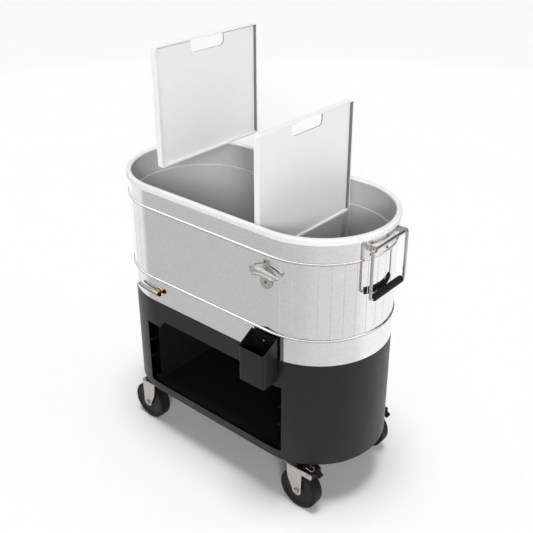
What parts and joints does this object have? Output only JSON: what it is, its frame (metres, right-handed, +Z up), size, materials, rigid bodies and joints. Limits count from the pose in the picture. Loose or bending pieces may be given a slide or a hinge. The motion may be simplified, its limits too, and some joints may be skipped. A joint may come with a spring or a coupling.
{
  "type": "patio cooler",
  "caption": "Oval insulated drinks tub with lift-out dividers, swing handles, a bottle opener with a cap bin and a drain, on a stand with an open shelf and swivel casters.",
  "frame": {"origin": "on the floor, under the middle of the tub", "axes": "+X along the tub towards the end whose casters have brakes, +Y from the open shelf to the back, +Z up"},
  "size_m": [0.928, 0.499, 1.2787],
  "materials": {
    "galvanised_steel": "satin",
    "bright_hoop": "polished",
    "white_rim": "satin",
    "grey_liner": "matte",
    "insulation_foam": "matte",
    "white_divider": "satin",
    "black_paint": "satin",
    "black_bin": "satin",
    "cast_opener": "satin",
    "bright_screws": "gloss",
    "bright_bail": "polished",
    "black_grip": "satin",
    "drain_brass": "satin",
    "drain_rubber": "matte",
    "drain_steel": "satin",
    "black_knob": "satin",
    "swivel_black": "satin",
    "fork_steel": "satin",
    "hub_black": "satin",
    "tyre_rubber": "satin",
    "pedal_black": "satin"
  },
  "bodies": {
    "cart": {"tub_shell": "galvanised_steel", "right_handle_plate": "galvanised_steel", "left_handle_plate": "galvanised_steel", "upper_hoop": "bright_hoop", "lower_hoop": "bright_hoop", "rim_trim": "white_rim", "tub_liner": "grey_liner", "front_left_guide": "grey_liner", "front_right_guide": "grey_liner", "rear_left_guide": "grey_liner", "rear_right_guide": "grey_liner", "foam_insulation": "insulation_foam", "base_skirt": "black_paint", "base_pan": "black_paint", "base_deck": "black_paint", "shelf_tray": "black_paint", "left_bay_panel": "black_paint", "right_bay_panel": "black_paint", "bottle_opener": "cast_opener", "opener_screws": "bright_screws", "catcher_screw": "bright_screws", "handle_screws": "bright_screws", "deck_bolts": "bright_screws", "caster_nuts": "bright_screws", "drain_body": "drain_brass", "drain_nut": "drain_brass", "drain_gasket": "drain_rubber", "drain_tube": "drain_steel", "front_left_swivel_head": "swivel_black", "front_right_swivel_head": "swivel_black", "rear_left_swivel_head": "swivel_black", "rear_right_swivel_head": "swivel_black"},
    "left_divider": {"left_divider": "white_divider"},
    "right_divider": {"right_divider": "white_divider"},
    "cap_catcher": {"cap_catcher": "black_bin"},
    "drain_knob": {"drain_knob": "black_knob"},
    "right_handle": {"right_bail": "bright_bail", "right_grip": "black_grip"},
    "left_handle": {"left_bail": "bright_bail", "left_grip": "black_grip"},
    "front_left_swivel": {"front_left_fork": "fork_steel", "front_left_axle": "bright_screws"},
    "front_left_wheel": {"front_left_hub": "hub_black", "front_left_tyre": "tyre_rubber"},
    "front_right_swivel": {"front_right_fork": "fork_steel", "front_right_axle": "bright_screws"},
    "front_right_wheel": {"front_right_hub": "hub_black", "front_right_tyre": "tyre_rubber"},
    "rear_left_swivel": {"rear_left_fork": "fork_steel", "rear_left_axle": "bright_screws"},
    "rear_left_wheel": {"rear_left_hub": "hub_black", "rear_left_tyre": "tyre_rubber"},
    "rear_right_swivel": {"rear_right_fork": "fork_steel", "rear_right_axle": "bright_screws"},
    "rear_right_wheel": {"rear_right_hub": "hub_black", "rear_right_tyre": "tyre_rubber"},
    "front_right_brake": {"front_right_brake_pedal": "pedal_black"},
    "rear_right_brake": {"rear_right_brake_pedal": "pedal_black"}
  },
  "joints": [
    {"name": "left_divider_lift", "type": "slide", "parent": "cart", "child": "left_divider", "axis": [0, 0, 1], "range_m": [-0.415, 0]},
    {"name": "right_divider_lift", "type": "slide", "parent": "cart", "child": "right_divider", "axis": [0, 0, 1], "range_m": [-0.253, 0.162]},
    {"name": "cap_catcher_lift", "type": "slide", "parent": "cart", "child": "cap_catcher", "axis": [0, 0, 1], "range_m": [0, 0.012]},
    {"name": "drain_knob_turn", "type": "hinge", "parent": "cart", "child": "drain_knob", "pos_m": [-0.194, -0.2262, 0.5407], "axis": [1, 0, 0], "range_deg": [0, 90]},
    {"name": "right_handle_swing", "type": "hinge", "parent": "cart", "child": "right_handle", "pos_m": [0.454, 0, 0.845], "axis": [0, -1, 0], "range_deg": [0, 100]},
    {"name": "left_handle_swing", "type": "hinge", "parent": "cart", "child": "left_handle", "pos_m": [-0.454, 0, 0.845], "axis": [0, 1, 0], "range_deg": [0, 100]},
    {"name": "front_left_swivel_turn", "type": "hinge", "parent": "cart", "child": "front_left_swivel", "pos_m": [-0.288, -0.1746, 0.149], "axis": [0, 0, 1], "continuous": true},
    {"name": "front_left_wheel_roll", "type": "hinge", "parent": "front_left_swivel", "child": "front_left_wheel", "pos_m": [-0.318, -0.1746, 0.0635], "axis": [0, 1, 0], "continuous": true},
    {"name": "front_right_swivel_turn", "type": "hinge", "parent": "cart", "child": "front_right_swivel", "pos_m": [0.288, -0.1746, 0.149], "axis": [0, 0, 1], "continuous": true},
    {"name": "front_right_wheel_roll", "type": "hinge", "parent": "front_right_swivel", "child": "front_right_wheel", "pos_m": [0.318, -0.1746, 0.0635], "axis": [0, 1, 0], "continuous": true},
    {"name": "rear_left_swivel_turn", "type": "hinge", "parent": "cart", "child": "rear_left_swivel", "pos_m": [-0.288, 0.1746, 0.149], "axis": [0, 0, 1], "continuous": true},
    {"name": "rear_left_wheel_roll", "type": "hinge", "parent": "rear_left_swivel", "child": "rear_left_wheel", "pos_m": [-0.318, 0.1746, 0.0635], "axis": [0, 1, 0], "continuous": true},
    {"name": "rear_right_swivel_turn", "type": "hinge", "parent": "cart", "child": "rear_right_swivel", "pos_m": [0.288, 0.1746, 0.149], "axis": [0, 0, 1], "continuous": true},
    {"name": "rear_right_wheel_roll", "type": "hinge", "parent": "rear_right_swivel", "child": "rear_right_wheel", "pos_m": [0.318, 0.1746, 0.0635], "axis": [0, 1, 0], "continuous": true},
    {"name": "front_right_brake_press", "type": "hinge", "parent": "front_right_swivel", "child": "front_right_brake", "pos_m": [0.354, -0.1746, 0.141], "axis": [0, 1, 0], "range_deg": [0, 14]},
    {"name": "rear_right_brake_press", "type": "hinge", "parent": "rear_right_swivel", "child": "rear_right_brake", "pos_m": [0.354, 0.1746, 0.141], "axis": [0, 1, 0], "range_deg": [0, 14]}
  ]
}
